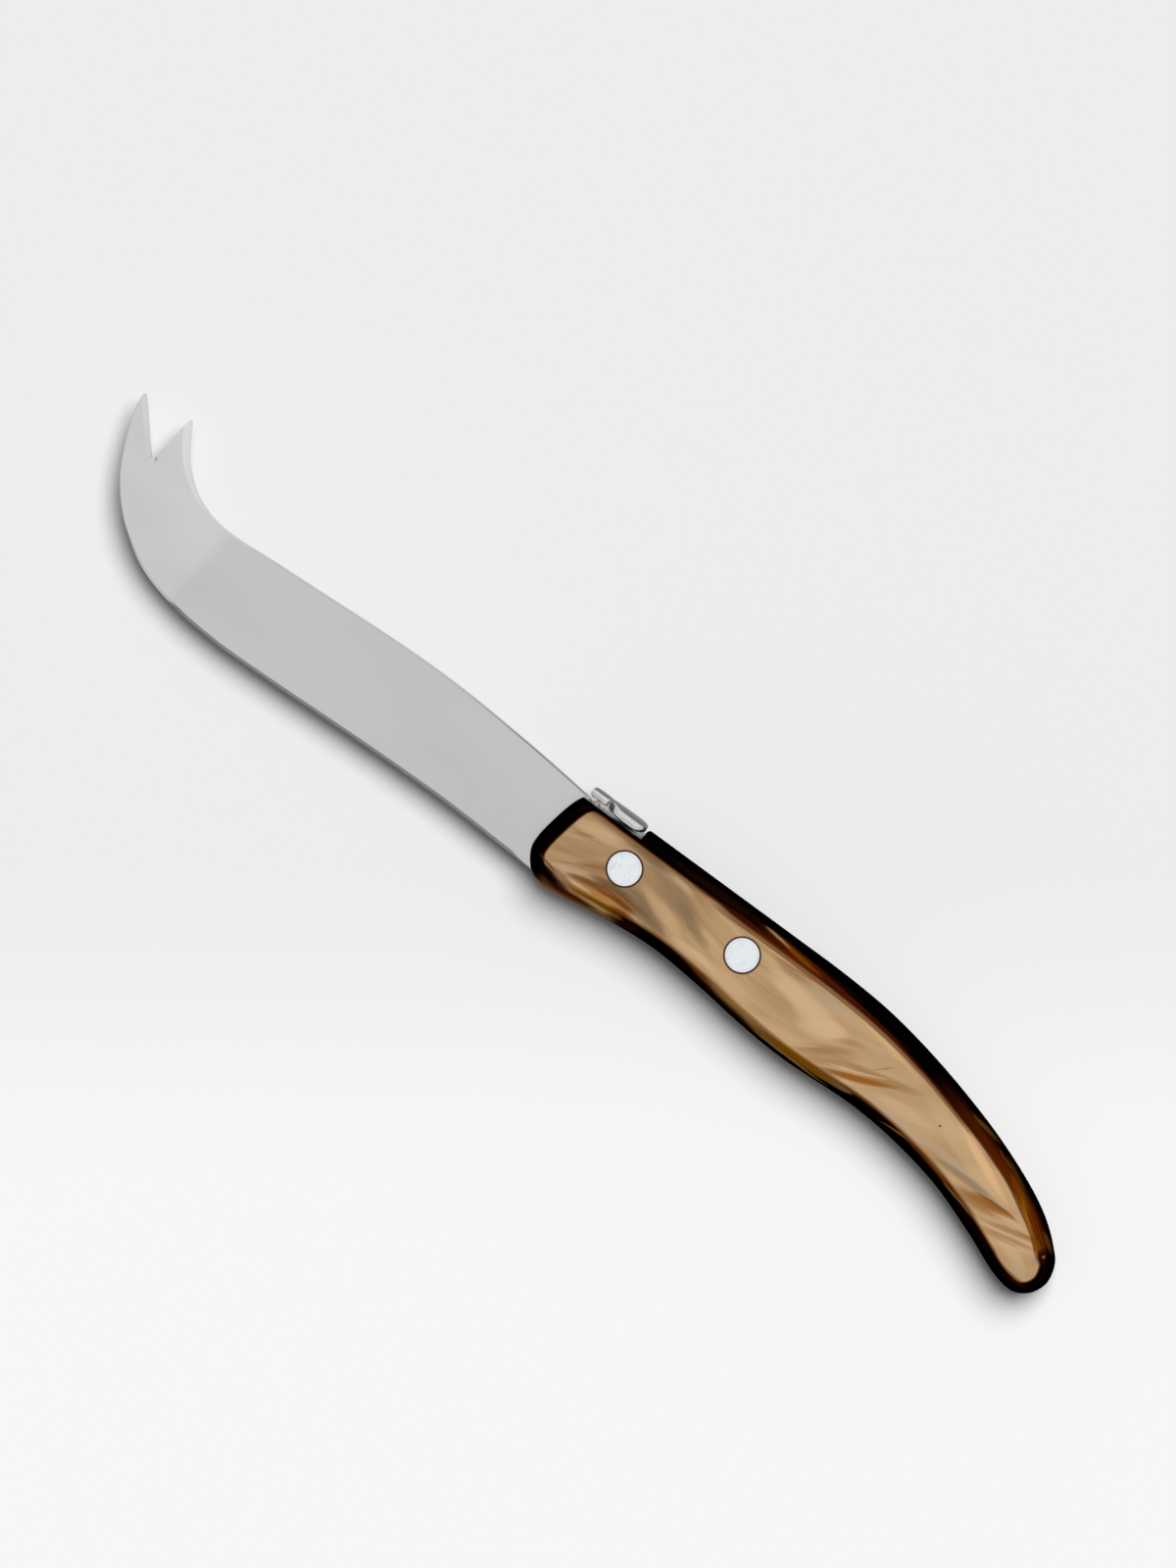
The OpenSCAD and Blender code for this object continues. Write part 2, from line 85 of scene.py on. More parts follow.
PICTURE_UP = add_camera()


# Shader building

class Graph:
    """A short way to write a shader as sums of named fields."""

    def __init__(self, tree):
        self.tree = tree

    def node(self, kind, **settings):
        made = self.tree.nodes.new(kind)
        for name, value in settings.items():
            setattr(made, name, value)
        return made

    def feed(self, socket, value):
        if isinstance(value, bpy.types.NodeSocket):
            self.tree.links.new(value, socket)
        else:
            socket.default_value = value

    def math(self, operation, first, second=0.0, third=0.0):
        made = self.node("ShaderNodeMath", operation=operation)
        for socket, value in zip(made.inputs, (first, second, third)):
            self.feed(socket, value)
        return made.outputs[0]

    def add(self, *terms):
        total = terms[0]
        for term in terms[1:]:
            total = self.math("ADD", total, term)
        return total

    def times(self, first, *others):
        product = first
        for factor in others:
            product = self.math("MULTIPLY", product, factor)
        return product

    def minus(self, first, second):
        return self.math("SUBTRACT", first, second)

    def rise(self, value, low, high, top=1.0):
        """0 below low, top above high, with a soft step between. low may be above high."""
        made = self.node("ShaderNodeMapRange", interpolation_type="SMOOTHSTEP")
        for name, number in (("Value", value), ("From Min", low), ("From Max", high), ("To Max", top)):
            self.feed(made.inputs[name], number)
        return made.outputs["Result"]

    def split(self, vector):
        made = self.node("ShaderNodeSeparateXYZ")
        self.feed(made.inputs[0], vector)
        return made.outputs[0], made.outputs[1], made.outputs[2]

    def join(self, x, y, z):
        made = self.node("ShaderNodeCombineXYZ")
        for socket, value in zip(made.inputs, (x, y, z)):
            self.feed(socket, value)
        return made.outputs[0]

    def noise(self, vector, scale, detail=3.0, rough=0.5, warp=0.0):
        made = self.node("ShaderNodeTexNoise", noise_dimensions="3D")
        for name, value in (("Vector", vector), ("Scale", scale), ("Detail", detail),
                            ("Roughness", rough), ("Distortion", warp)):
            self.feed(made.inputs[name], value)
        return made.outputs["Fac"]

    def grained(self, x, y, z, cells, **settings):
        """Noise with this many cells per mm along each of the three directions."""
        stretched = [self.times(value, fine) for value, fine in zip((x, y, z), cells)]
        return self.noise(self.join(*stretched), 1.0, **settings)

    def mix(self, factor, first, second):
        made = self.node("ShaderNodeMix", data_type="RGBA")
        for name, value in (("Factor_Float", factor), ("A_Color", first), ("B_Color", second)):
            socket = next(s for s in made.inputs if s.identifier == name)
            self.feed(socket, value)
        return next(s for s in made.outputs if s.identifier == "Result_Color")

    def wash(self, colour, tone, *masks):
        """Lays a tone over a colour, as strongly as the product of the masks and numbers says."""
        return self.mix(self.times(*masks), colour, tone)

    def curve(self, value, points):
        """The height of a smooth line through the points at this place along it."""
        made = self.node("ShaderNodeFloatCurve")
        first, last = points[0][0], points[-1][0]
        low = min(height for _, height in points)
        high = max(height for _, height in points)
        line = made.mapping.curves[0]
        while len(line.points) < len(points):
            line.points.new(0.5, 0.5)
        for spot, (along, height) in zip(line.points, points):
            spot.location = ((along - first) / (last - first), (height - low) / (high - low))
        made.mapping.update()
        self.feed(made.inputs["Value"], self.times(self.minus(value, first), 1 / (last - first)))
        return self.add(low, self.times(made.outputs["Value"], high - low))

    def place_mm(self):
        """The surface point in the row frame, in millimetres."""
        where = self.node("ShaderNodeTexCoord").outputs["Object"]
        made = self.node("ShaderNodeVectorMath", operation="SCALE")
        self.feed(made.inputs[0], where)
        made.inputs["Scale"].default_value = 1 / MM
        return made.outputs[0]

    def away_mm(self, x, y, at):
        """The distance from an upright line at this place."""
        dx, dy = self.minus(x, at.x), self.minus(y, at.y)
        return self.math("SQRT", self.add(self.times(dx, dx), self.times(dy, dy)))


def material(name, metallic, roughness, ior=1.5, specular=0.5):
    made = bpy.data.materials.new(name)
    made.use_nodes = True
    shader = made.node_tree.nodes["Principled BSDF"]
    shader.inputs["Metallic"].default_value = metallic
    shader.inputs["Roughness"].default_value = roughness
    shader.inputs["IOR"].default_value = ior
    shader.inputs["Specular IOR Level"].default_value = specular
    return made, Graph(made.node_tree), shader


def bump(graph, shader, height, distance, strength=1.0):
    made = graph.node("ShaderNodeBump")
    made.inputs["Strength"].default_value = strength
    made.inputs["Distance"].default_value = distance
    graph.feed(made.inputs["Height"], height)
    graph.feed(shader.inputs["Normal"], made.outputs[0])


STROKE_FADE = (1.0, 0.05)              # a stroke's strength runs from its rim to near its middle


def mask_of(g, x, y, row):
    """A soft slanted stroke: its x, y, slant in degrees, half length, half width, bend and strength.

    It is an ellipse that is sheared to its slant and shifted by its bend at both ends. The nodes are
    few and in one chain, because a material with a hundred longer strokes renders plain black.
    """
    px, py, slant, length, width, bend, strength = row
    cos, sin = math.cos(math.radians(slant)), math.sin(math.radians(slant))
    along = g.math("MULTIPLY_ADD", x, cos / length, -(px * cos + py * sin) / length)
    along = g.math("MULTIPLY_ADD", y, sin / length, along)
    off = g.math("MULTIPLY_ADD", along, -sin * length / (cos * width), -py / (cos * width))
    off = g.math("MULTIPLY_ADD", y, 1 / (cos * width), off)
    far = g.times(along, along)
    off = g.math("MULTIPLY_ADD", far, -bend / width, off) if bend else off
    return g.rise(g.math("MULTIPLY_ADD", off, off, far), *STROKE_FADE, strength)


def paint(g, colour, x, y, strokes, gate=None):
    """Lays strokes over a colour in their order. Each row is a tone and a stroke."""
    for tone, *row in strokes:
        mask = mask_of(g, x, y, row)
        colour = g.mix(mask if gate is None else g.times(mask, gate), colour, tone)
    return colour


# Handle: pearl faces on a dark core, with honey and amber layers showing between them

PEARL = srgb(178, 144, 104)
DUSK = srgb(157, 130, 98)
LIGHT = srgb(208, 174, 134)
GLEAM = srgb(222, 180, 134)
TAN = srgb(150, 114, 74)
GREY = srgb(122, 100, 76)
MIST = srgb(180, 158, 130)
STRAW = srgb(166, 120, 64)
HONEY = srgb(150, 91, 32)
BARK = srgb(96, 68, 42)
BROWN = srgb(104, 60, 22)
GOLD = srgb(134, 84, 4)
AMBER = srgb(112, 58, 4)
OLIVE = srgb(84, 52, 12)
UMBER = srgb(72, 24, 2)
SOOT = srgb(32, 9, 1)
CORE = srgb(2, 1, 1)
STRIP = srgb(112, 70, 36)
GAP_SHADE = srgb(72, 46, 34)

# where the flat face ends on the spine's side and on the belly's side, in mm
SPINE_LINE = ((-30, 4.4), (-20, 4.5), (0, 4.5), (20, 4.5), (30, 4.4), (40, 3.8), (50, 2.2), (60, -0.2),
              (70, -3.2), (80, -7.4), (86, -11.5), (92, -19.0))
BELLY_LINE = ((-30, -8.6), (-22, -8.35), (-15, -7.3), (-8, -6.4), (0, -5.9), (8, -6.35), (20, -7.6),
              (30, -8.15), (40, -7.65), (45, -7.5), (50, -7.7), (60, -9.05), (70, -11.6), (80, -15.5),
              (85, -17.3), (92, -17.6))

# Strokes: a tone, then x, y, slant, half length, half width, bend and strength, in mm and degrees

# broad swirls of the face
CLOUDS = (
    (LIGHT, -20.5, 2.6, 7, 6.5, 1.7, 0.0, 0.50),
    (LIGHT, -4.0, 3.7, -6, 4.5, 1.1, 0.0, 0.55),
    (TAN, -21.5, -2.4, 26, 6.0, 1.0, 0.0, 0.40),
    (TAN, -17.0, -3.0, 26, 6.5, 1.7, 0.0, 0.80),
    (LIGHT, -21.0, -5.8, 22, 5.0, 0.8, 0.0, 0.35),
    (MIST, -22.6, -7.2, 16, 3.2, 0.8, 0.0, 0.55),
    (GREY, -6.5, -3.8, -20, 8.0, 1.9, 0.0, 0.85),
    (GREY, -2.5, 1.3, -20, 10.0, 2.6, 0.0, 0.62),
    (GREY, 2.5, -0.7, -24, 6.5, 1.4, 0.0, 0.50),
    (GREY, -2.5, -5.0, -10, 4.5, 0.8, 0.0, 0.40),
    (LIGHT, 6.5, -5.0, -3, 6.0, 1.0, 0.0, 0.70),
    (LIGHT, -2.2, -2.6, -20, 8.5, 1.6, 0.0, 0.45),
    (LIGHT, 12.5, -5.2, -6, 10.0, 1.5, 0.0, 0.40),
    (LIGHT, 27.5, -0.3, -8, 11.0, 2.8, 0.0, 0.85),
    (TAN, 23.0, -3.0, -16, 8.0, 1.6, 0.0, 0.20),
    (GREY, 22.5, 2.8, -4, 5.5, 0.7, 0.0, 0.40),
    (MIST, 30.0, 2.4, -2, 7.0, 1.6, 0.0, 0.60),
    (LIGHT, 32.5, -2.0, 20, 5.5, 2.2, 0.0, 0.65),
    (TAN, 35.5, -5.6, 30, 7.0, 2.4, 0.0, 0.50),
    (TAN, 46.5, -3.1, 14, 9.5, 1.2, 0.5, 0.75),
    (LIGHT, 53.0, -5.4, 4, 8.0, 1.4, 0.0, 0.40),
    (MIST, 53.0, -7.4, -2, 9.0, 1.0, 0.0, 0.65),
    (LIGHT, 66.0, -4.8, -20, 14.0, 2.4, 0.0, 0.45),
    (MIST, 66.0, -7.9, -6, 9.0, 1.3, 0.0, 0.70),
    (GREY, 69.0, -8.7, 0, 8.5, 0.9, 0.0, 0.60),
    (TAN, 73.0, -10.6, 6, 6.5, 1.6, 0.0, 0.55),
    (LIGHT, 83.0, -14.3, -18, 5.0, 1.4, 0.0, 0.45),
    (MIST, 86.0, -16.2, -20, 4.0, 1.0, 0.0, 0.45),
)

# narrower streaks
STREAKS = (
    # under the front rivet
    (BARK, -12.8, -3.95, 4, 5.5, 1.10, -0.5, 0.80),
    (BROWN, -12.5, -4.90, 8, 9.0, 0.95, -0.9, 0.75),
    (BROWN, -9.4, -5.2, -4, 3.6, 0.8, 0.0, 0.90),
    (TAN, -10.5, -4.50, -3, 4.5, 0.26, -0.3, 0.50),
    (HONEY, -13.8, -5.90, 12, 7.5, 0.90, -0.6, 0.50),
    (BROWN, -17.6, -5.95, 12, 4.5, 0.70, -0.2, 0.60),
    (AMBER, -11.5, -5.50, 6, 5.5, 0.60, -0.3, 0.80),
    (STRAW, -13.5, -6.60, 10, 6.5, 0.75, -0.3, 0.90),
    (LIGHT, -18.2, -7.25, 6, 3.4, 0.40, -0.1, 0.60),
    (GOLD, -12.0, -7.60, 6, 7.5, 0.85, -0.2, 1.00),
    (AMBER, -8.6, -6.90, 5, 3.4, 1.10, 0.0, 1.00),
    (TAN, -21.0, -4.6, 27, 5.0, 0.28, 0.0, 0.55),
    (BROWN, -22.3, 0.75, 20, 2.6, 0.40, 0.0, 0.30),
    (BROWN, -17.0, -2.6, 25, 3.6, 0.45, 0.0, 0.30),
    (BARK, -21.5, -7.7, -6, 3.5, 0.80, 0.0, 0.50),
    # haze beside the spine's edge
    (GREY, -11.0, 4.3, -1, 7.0, 0.85, 0.0, 0.80),
    (GREY, 8.0, 4.3, 0, 6.0, 0.80, 0.0, 0.70),
    # along the spine's edge strip
    (HONEY, 22.0, 3.55, 4, 7.0, 0.26, 0.3, 0.60),
    (LIGHT, 20.0, 4.05, 5, 5.0, 0.18, 0.0, 0.60),
    (LIGHT, 29.0, 4.35, 0, 1.3, 0.28, 0.0, 0.75),
    # the fan behind the rear rivet
    (HONEY, 33.0, -6.4, 30, 6.5, 0.70, 0.0, 0.22),
    (HONEY, 35.0, -4.6, 31, 7.5, 0.90, 0.0, 0.26),
    (HONEY, 37.3, -1.4, 24, 4.0, 0.85, -0.3, 0.34),
    (HONEY, 38.0, -5.6, 28, 6.5, 0.80, 0.0, 0.24),
    (LIGHT, 31.8, -6.3, 34, 3.4, 0.26, 0.0, 0.35),
    (BROWN, 42.0, -5.95, 21, 7.0, 0.75, 0.35, 0.60),
    (HONEY, 42.8, -5.55, 21, 8.5, 0.72, 0.35, 1.00),
    (LIGHT, 41.8, -4.75, 21, 7.5, 0.26, 0.35, 0.75),
    (LIGHT, 42.0, -7.1, 22, 4.5, 0.22, 0.0, 0.60),
    (BROWN, 45.4, -1.3, 42, 1.9, 0.16, 0.0, 0.50),
    (TAN, 44.2, -2.4, 42, 1.6, 0.18, 0.0, 0.45),
    # near the butt
    (HONEY, 73.0, -10.6, 8, 7.0, 1.70, 0.0, 0.40),
    (GOLD, 73.8, -10.1, 7, 4.8, 0.75, 0.0, 0.45),
    (BROWN, 76.0, -9.2, 1, 5.6, 0.42, -0.25, 0.85),
    (HONEY, 75.8, -9.65, 4, 5.5, 0.55, 0.0, 0.70),
    (LIGHT, 79.0, -10.2, 9, 4.5, 0.40, 0.0, 0.45),
    (HONEY, 81.8, -10.95, 12, 5.5, 0.42, 0.0, 0.50),
    (TAN, 80.0, -11.75, 12, 7.0, 0.50, 0.0, 0.60),
    (LIGHT, 80.5, -12.25, 13, 6.5, 0.34, 0.0, 0.35),
    (HONEY, 81.0, -12.80, 12, 7.0, 0.50, 0.0, 0.50),
    (LIGHT, 82.0, -13.45, 10, 6.0, 0.36, 0.0, 0.35),
    (HONEY, 79.5, -13.75, 9, 5.5, 0.36, 0.0, 0.40),
    (HONEY, 84.2, -10.5, 6, 3.5, 0.45, 0.0, 0.55),
    (BROWN, 69.5, -11.75, -15, 6.0, 0.34, 0.0, 0.45),
    # bright inside the spine's edge
    (GLEAM, 44.0, 2.2, -11, 10.0, 0.75, 0.0, 0.40),
    (GLEAM, 69.5, -4.5, -24, 9.5, 1.10, 0.0, 0.80),
    # tiny specks
    (BROWN, 59.6, -3.6, 0, 0.42, 0.26, 0.0, 0.90),
    (BROWN, 63.9, -1.45, 0, 0.35, 0.22, 0.0, 0.60),
)

# parts of the edge where the core stays back, so that the pearl and the amber run on over it,
# as strokes without a tone
POCKETS = (
    (-16.6, -8.9, 8, 10.0, 2.5, -0.5, 1.0),
    (24.5, -8.9, -2, 17.0, 1.25, 1.3, 1.0),
    (37.0, -8.8, 3, 7.5, 0.95, 0.0, 0.9),
)

# streaks of the rounded edge: umber, amber and gold glow over the core
EDGE_STREAKS = (
    # belly, at the front
    (GOLD, -16.0, -8.0, 4, 6.5, 0.60, 0.0, 0.85),
    (STRAW, -13.2, -8.75, 4, 7.5, 0.85, -0.2, 0.85),
    (LIGHT, -12.8, -8.6, 4, 5.0, 0.52, -0.1, 0.65),
    (BROWN, -16.5, -9.3, 6, 6.0, 0.45, 0.0, 0.50),
    (UMBER, -18.0, -9.8, 6, 6.0, 0.60, 0.0, 1.00),
    (AMBER, -20.8, -10.40, 3, 8.0, 0.60, 0.3, 1.00),
    (UMBER, -8.6, -8.4, 8, 3.6, 0.80, 0.0, 0.85),
    (SOOT, -6.8, -8.2, 14, 3.4, 0.90, 0.0, 1.00),
    # the dark wedge behind the front corner
    (UMBER, -22.0, -9.1, -12, 5.5, 1.20, 0.0, 0.85),
    (SOOT, -24.6, -8.85, -13, 6.2, 1.50, 0.0, 1.00),
    (CORE, -24.6, -8.75, -12, 4.4, 1.10, 0.0, 0.80),
    (CORE, -26.0, -8.9, -50, 4.0, 1.80, 0.0, 1.00),
    (AMBER, -24.4, -7.35, -14, 2.8, 0.30, 0.0, 0.85),
    # belly, below and behind the rear rivet
    (AMBER, 9.5, -7.45, -9, 6.5, 0.42, 0.0, 0.85),
    (UMBER, 11.5, -8.3, -11, 6.0, 0.34, 0.0, 0.80),
    (STRAW, 17.5, -8.2, -7, 8.0, 0.85, 0.2, 0.80),
    (OLIVE, 17.5, -8.9, -7, 6.0, 0.45, 0.2, 0.45),
    (SOOT, 17.5, -9.35, -7, 8.0, 0.42, 0.3, 0.90),
    (TAN, 24.0, -8.2, -3, 9.0, 0.40, 0.0, 0.70),
    (GOLD, 31.0, -9.0, 1, 12.0, 0.90, -0.1, 1.00),
    (GOLD, 33.0, -9.5, 2, 9.0, 0.45, 0.0, 0.85),
    (GOLD, 36.0, -8.6, 2, 6.0, 0.55, 0.0, 0.90),
    (STRAW, 30.5, -10.05, -1, 9.5, 0.30, 0.0, 0.85),
    (BROWN, 44.0, -8.05, 2, 6.5, 0.36, 0.0, 0.75),
    (HONEY, 54.0, -9.2, 3, 4.6, 0.26, -0.25, 0.85),
    (AMBER, 61.0, -10.0, -12, 7.5, 0.48, -0.3, 0.85),
    (HONEY, 63.5, -10.35, -13, 4.0, 0.28, -0.1, 0.70),
    (AMBER, 68.5, -11.95, -15, 6.5, 0.42, 0.0, 0.90),
    (TAN, 69.8, -12.5, -16, 4.5, 0.26, 0.0, 0.70),
    (UMBER, 86.5, -18.4, 2, 3.2, 0.26, 0.2, 0.45),
    # spine, over the rivets
    (SOOT, 4.0, 6.35, 0, 14.0, 0.70, 0.0, 0.50),
    (UMBER, 12.0, 5.35, 0, 11.0, 0.45, 0.0, 0.45),
    (UMBER, 1.5, 5.05, 0, 3.5, 0.22, 0.0, 0.70),
    (UMBER, 21.5, 5.75, -3, 10.5, 0.95, 0.0, 0.85),
    (UMBER, 30.5, 5.3, -4, 7.5, 0.50, 0.0, 0.70),
    (AMBER, 21.0, 5.75, -5, 6.5, 0.46, 0.0, 0.85),
    (TAN, 16.3, 6.25, -6, 3.4, 0.32, 0.0, 0.80),
    (OLIVE, 20.5, 6.15, -2, 4.0, 0.22, 0.0, 0.60),
    (UMBER, 40.0, 4.6, -8, 9.0, 0.30, -0.3, 0.45),
    # spine, behind the rivets
    (OLIVE, 66.5, 0.55, -11, 4.5, 0.42, 0.0, 0.80),
    (AMBER, 72.5, -1.75, -20, 3.0, 0.20, 0.0, 0.50),
    (OLIVE, 75.5, -2.7, -26, 4.0, 0.50, 0.0, 0.35),
    (AMBER, 78.0, -5.0, -27, 4.6, 0.70, 0.0, 0.50),
    (GOLD, 80.3, -6.7, -38, 2.8, 0.42, 0.0, 0.55),
    (HONEY, 82.6, -8.5, -38, 2.8, 0.26, 0.0, 0.60),
    (OLIVE, 87.4, -9.4, -35, 2.6, 0.55, 0.0, 0.75),
    (AMBER, 86.2, -10.9, -30, 2.4, 0.60, 0.0, 0.80),
    (SOOT, 87.9, -12.1, -50, 1.9, 1.05, 0.0, 0.95),
    (HONEY, 88.2, -11.75, 0, 0.34, 0.34, 0.0, 0.85),
)

# The sheet's flow: an arch with its lowest place here, which falls away toward the handle's front
FLOW_LOW_X = 24.0
FLOW_ARCH = 0.0052
FLOW_FALL = 14.0
FLOW_FALL_X = (-6.0, -34.0)

# Noise of the sheet, in cells per mm: along it, across its flow and through it
BROAD_CELLS = (0.05, 0.16, 0.10)
SILK_CELLS = (0.05, 0.60, 0.15)
THREAD_CELLS = (0.06, 2.60, 0.20)
DRIFT_CELLS = (0.16, 0.30, 0.10)
LINE_CELLS = (0.05, 2.60, 0.02)        # along the knife, through its depth and across it

# How far the noise moves the swirls and the streaks, in mm
SWIRL_X_DRIFT = 3.0
SWIRL_Y_SILK = 1.0
SWIRL_Y_DRIFT = 0.8
STREAK_X_DRIFT = 1.2
STREAK_Y_DRIFT = 0.5
STREAK_Y_THREAD = 0.10
CALM = 0.25                            # what is left of the movement at the rear

# Where along the knife each effect sets in and where it is full, in mm
LIVELY_X = (44.0, 14.0)
LIGHT_X = (0.0, 26.0)
DUSK_X = (8.0, -12.0)
STRIP_X, STRIP_END_X = (2.0, 12.0), (67.0, 61.0)
STRIP_BROAD_X = (52.0, 40.0)
SPINE_HAZE_X = (8.0, 0.0)
BELLY_HAZE_X = (-9.0, -5.0)
STEEP_X = (-23.5, -25.5)
FRINGE_X, FRINGE_END_X = (2.0, 8.0), (88.0, 86.0)
FRINGE_IN_X = (74.0, 81.0)
FRINGE_AMBER_X = (75.0, 81.0)
FLARE_X = 20.0                         # where the fringe keeps its glow, and how far on each side
FLARE_REACH = (3.0, 9.0)
SOOT_END_X = (72.0, 62.0)
BELLY_UMBER_X = (44.0, 50.0)
GLOW_X, GLOW_END_X = (4.0, 16.0), (34.0, 26.0)
EMBER_X, EMBER_END_X = (52.0, 70.0), (88.6, 86.6)
WARM_X = (69.0, 80.0)

# Distances inwards from the spine's line and from the belly's line, in mm, set in and full
STRIP_WIDTH = 0.42
STRIP_BROADER = 0.22
STRIP_SOLID = 0.7                      # the share of its width that is full
SPINE_HAZE = (0.55, -0.35)
BELLY_HAZE = (0.22, -0.30)
FRINGE_SHIFT = -0.15
FRINGE_IN = 0.45
FRINGE_SOFT = 0.20
SOOT_LINE = (-0.25, -0.55)
BELLY_UMBER = (-0.25, -0.75)
EMBER_BAND = (3.0, 1.5)

# Depths below a side face, in mm, set in and full
BROWN_DEPTH = (0.03, 0.22)
CORE_DEPTH = (0.14, 0.44)
AMBER_DEPTH = (0.2, 2.4)
GLOW_DEPTH = (2.4, 0.3)
EMBER_DEPTH = (4.0, 2.1)
EMBER_UNEVEN = 2.4
EDGE_STREAK_DEPTH = (4.6, 2.4)
MIDDLE_DEPTH = (3.4, 5.2)
STEEPER = 3.0                          # how much faster the core comes up at the handle's front
UNEVEN_DEPTH, UNEVEN_SHARE = 0.06, 0.25

GAP_SHADE_REACH = (0.30, 0.08)              # how far the painted gap shade reaches beyond a rivet's head, in mm
POLISH = (0.16, 0.10)                  # roughness, and how much the noise adds
POLISH_CELLS = 0.35
POLISH_LIFT = 0.00004


def sheet_fields(g, place):
    """The noise of the acrylic sheet, and the moved places at which its strokes are drawn."""
    f = SimpleNamespace()
    f.x, f.y, z = g.split(place)
    f.depth = g.minus(MID_Z_MM, g.math("ABSOLUTE", g.minus(z, MID_Z_MM)))
    bent = g.minus(f.x, FLOW_LOW_X)
    arch = g.times(bent, bent, FLOW_ARCH)
    flow = g.minus(f.y, g.minus(arch, g.times(g.rise(f.x, *FLOW_FALL_X), FLOW_FALL)))
    f.broad = g.grained(f.x, flow, z, BROAD_CELLS, detail=2.0)
    f.silk = g.grained(f.x, flow, z, SILK_CELLS, detail=2.0, rough=0.45, warp=0.4)
    f.thread = g.grained(f.x, flow, z, THREAD_CELLS, detail=2.0, rough=0.45)
    drift = g.grained(f.x, f.y, z, DRIFT_CELLS, detail=1.5)
    f.lively = g.add(CALM, g.times(g.rise(f.x, *LIVELY_X), 1 - CALM))
    f.wavy_x = g.add(f.x, g.times(g.minus(drift, 0.5), f.lively, SWIRL_X_DRIFT))
    f.wavy_y = g.add(f.y, g.times(g.minus(f.silk, 0.5), f.lively, SWIRL_Y_SILK),
                     g.times(g.minus(drift, 0.5), f.lively, SWIRL_Y_DRIFT))
    f.near_x = g.add(f.x, g.times(g.minus(drift, 0.5), STREAK_X_DRIFT))
    f.near_y = g.add(f.y, g.times(g.minus(drift, 0.5), STREAK_Y_DRIFT),
                     g.times(g.minus(f.thread, 0.5), STREAK_Y_THREAD))
    return f


def face_colour(g, f):
    """The pearl of the side faces with its washes, swirls and streaks."""
    colour = g.wash(PEARL, LIGHT, g.rise(f.x, *LIGHT_X), 0.35)
    colour = g.wash(colour, DUSK, g.rise(f.x, *DUSK_X), 0.55)
    colour = g.wash(colour, TAN, g.rise(f.broad, 0.56, 0.30), 0.45)
    colour = g.wash(colour, LIGHT, g.rise(f.silk, 0.50, 0.74), f.lively, 0.40)
    colour = g.wash(colour, GREY, g.rise(f.silk, 0.48, 0.26), f.lively, 0.34)
    colour = paint(g, colour, f.wavy_x, f.wavy_y, CLOUDS)
    colour = g.wash(colour, LIGHT, g.rise(f.thread, 0.42, 0.68), f.lively, 0.07)
    return paint(g, colour, f.near_x, f.near_y, STREAKS)


def edge_haze(g, f, colour):
    """A duller strip inside the spine's edge, brown haze beside both edges, and rings of painted shade
    round the rivets, for the shade in the thin gap round each head.

    It also notes how far a point lies inside the spine's line and the belly's line.
    """
    f.inside = g.minus(g.curve(f.x, SPINE_LINE), f.y)
    width = g.add(STRIP_WIDTH, g.times(g.rise(f.x, *STRIP_BROAD_X), STRIP_BROADER))
    strip = g.rise(f.inside, width, g.times(width, STRIP_SOLID))
    colour = g.wash(colour, STRIP, strip, g.rise(f.x, *STRIP_X), g.rise(f.x, *STRIP_END_X), 0.80)
    f.low = g.minus(f.y, g.curve(f.x, BELLY_LINE))
    colour = g.wash(colour, BROWN, g.rise(f.inside, *SPINE_HAZE), g.rise(f.x, *SPINE_HAZE_X), 0.60)
    colour = g.wash(colour, BROWN, g.rise(f.low, *BELLY_HAZE), g.rise(f.x, *BELLY_HAZE_X), 0.70)
    # painted shade: a dark ring round each rivet's head stands in for the shade in the gap
    for node in RIVET_NODES:
        away = g.away_mm(f.x, f.y, centre_mm(node))
        far, near = (radius_mm(node) + reach for reach in GAP_SHADE_REACH)
        colour = g.wash(colour, GAP_SHADE, g.rise(away, far, near), 0.9)
    return colour


def edge_fringe(g, f, colour):
    """The dark line where the face ends: umber and soot, and amber near the butt."""
    shift = g.add(FRINGE_SHIFT, g.times(g.rise(f.x, *FRINGE_IN_X), FRINGE_IN))
    behind = g.rise(f.x, *FRINGE_X)
    fringe = g.times(g.rise(g.minus(f.inside, shift), FRINGE_SOFT, -FRINGE_SOFT), behind,
                     g.rise(f.x, *FRINGE_END_X), 0.92)
    colour = g.mix(fringe, colour, g.mix(g.rise(f.x, *FRINGE_AMBER_X), UMBER, AMBER))
    from_flare = g.math("ABSOLUTE", g.minus(f.x, FLARE_X))
    sooty = g.times(g.rise(from_flare, *FLARE_REACH), behind, g.rise(f.x, *SOOT_END_X))
    colour = g.wash(colour, SOOT, g.rise(f.inside, *SOOT_LINE), sooty, 0.85)
    return g.wash(colour, UMBER, g.rise(f.low, *BELLY_UMBER), g.rise(f.x, *BELLY_UMBER_X), 0.80)


def core_colour(g, f):
    """The near-black core, with a faint glow in its lines and an ember band on the spine's rear."""
    lines = g.grained(f.x, f.depth, f.y, LINE_CELLS, detail=2.0)
    glow = g.add(0.25, g.times(g.rise(f.x, *GLOW_X), g.rise(f.x, *GLOW_END_X), 0.35))
    core = g.wash(CORE, UMBER, g.rise(lines, 0.50, 0.78), g.rise(f.depth, *GLOW_DEPTH), glow)
    spine = g.rise(f.inside, *EMBER_BAND)
    ember = g.times(g.rise(f.x, *EMBER_X), g.rise(f.x, *EMBER_END_X), spine,
                    g.rise(g.add(f.depth, g.times(lines, EMBER_UNEVEN)), *EMBER_DEPTH))
    warm = g.wash(UMBER, AMBER, g.rise(f.x, *WARM_X), g.rise(lines, 0.40, 0.64), 0.7)
    return g.wash(core, warm, ember, 0.9)


